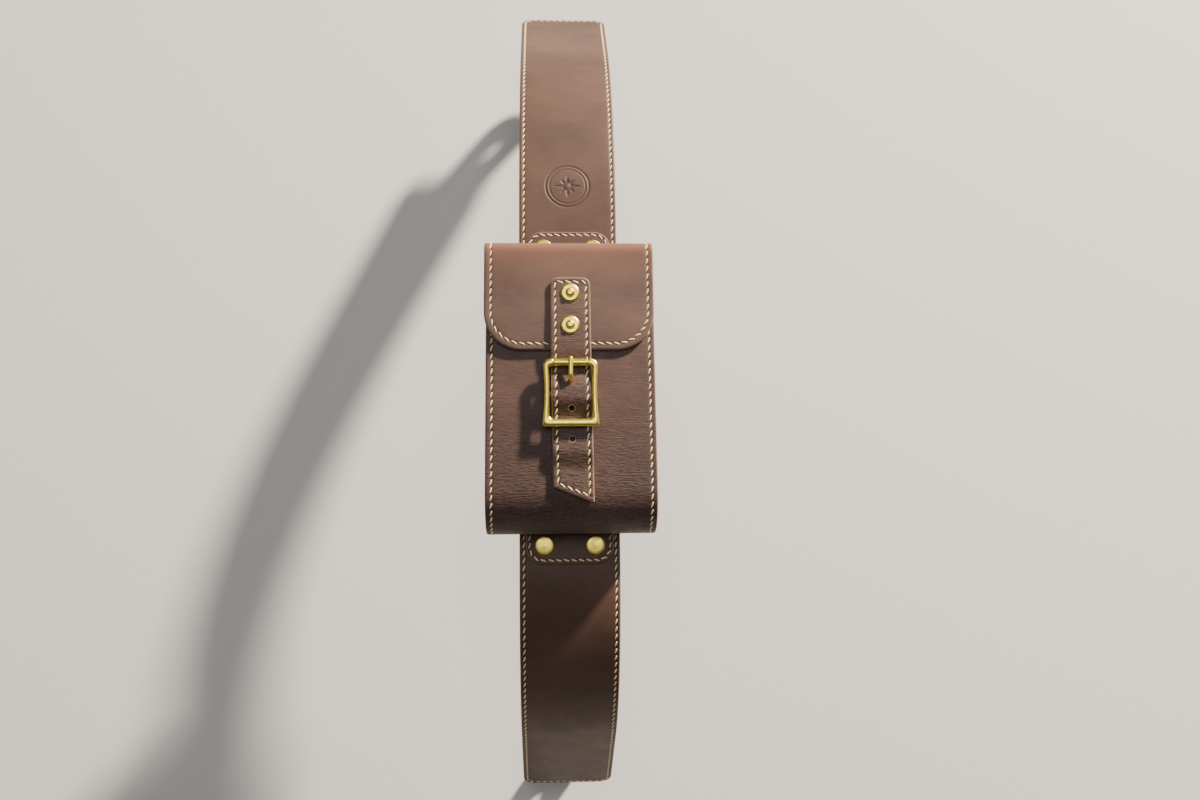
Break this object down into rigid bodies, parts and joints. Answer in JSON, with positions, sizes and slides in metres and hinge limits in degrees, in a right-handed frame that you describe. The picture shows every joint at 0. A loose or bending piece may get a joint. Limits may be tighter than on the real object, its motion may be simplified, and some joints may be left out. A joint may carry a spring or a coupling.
{
  "type": "tank strap pouch",
  "caption": "Leather strap that arches over a motorcycle's fuel tank, with a flap pouch riveted on its crown, closed by a strap and a brass roller buckle.",
  "frame": {"origin": "on the strap's tank face, in the middle of its flat crown, under the middle of the pouch", "axes": "+Z away from the tank and out of the pouch's face; +Y to the front of the motorcycle, where the flap folds over; +X across the strap, to the right of a rider who looks down on it from the seat"},
  "size_m": [0.097, 0.5445, 0.2193],
  "materials": {
    "strap_leather": "satin, waxed",
    "suede": "matte nap",
    "pouch_leather": "satin, waxed",
    "lining_leather": "matte",
    "billet_leather": "satin, waxed",
    "brass": "satin",
    "cast_brass": "polished"
  },
  "bodies": {
    "strap": {"strap_outer": "strap_leather", "strap_lining": "suede", "front_tail": "strap_leather", "front_eyelet": "brass", "front_eyelet_washer": "brass", "rear_tail": "strap_leather", "rear_eyelet": "brass", "rear_eyelet_washer": "brass", "mounting_tab": "strap_leather", "tab_rivet_posts": "brass", "tab_rivet_caps": "brass", "pouch_shell": "pouch_leather", "left_gusset": "pouch_leather", "right_gusset": "pouch_leather", "buckle_chape": "pouch_leather"},
    "flap": {"flap_outer": "pouch_leather", "flap_lining": "lining_leather", "flap_rivets": "brass", "flap_burrs": "brass"},
    "billet": {"billet_backing": "lining_leather", "billet_outer": "billet_leather"},
    "buckle": {"buckle_frame": "cast_brass"},
    "roller": {"buckle_roller": "cast_brass"},
    "tongue": {"buckle_tongue": "cast_brass"}
  },
  "joints": [
    {"name": "flap_hinge", "type": "hinge", "parent": "strap", "child": "flap", "pos_m": [0, 0.0818, 0.01], "axis": [-1, 0, 0], "range_deg": [0, 85]},
    {"name": "billet_lift", "type": "hinge", "parent": "flap", "child": "billet", "pos_m": [0, 0.0199, 0.0482], "axis": [-1, 0, 0], "range_deg": [0, 60], "deforming": ["billet_outer", "billet_backing"]},
    {"name": "buckle_tilt", "type": "hinge", "parent": "strap", "child": "buckle", "pos_m": [0, -0.0051, 0.04746], "axis": [1, 0, 0], "range_deg": [0, 5]},
    {"name": "tongue_swing", "type": "hinge", "parent": "buckle", "child": "tongue", "pos_m": [0, -0.0051, 0.04746], "axis": [1, 0, 0], "range_deg": [0, 105]},
    {"name": "roller_spin", "type": "hinge", "parent": "buckle", "child": "roller", "pos_m": [0, 0.0119, 0.0529], "axis": [1, 0, 0], "continuous": true}
  ]
}
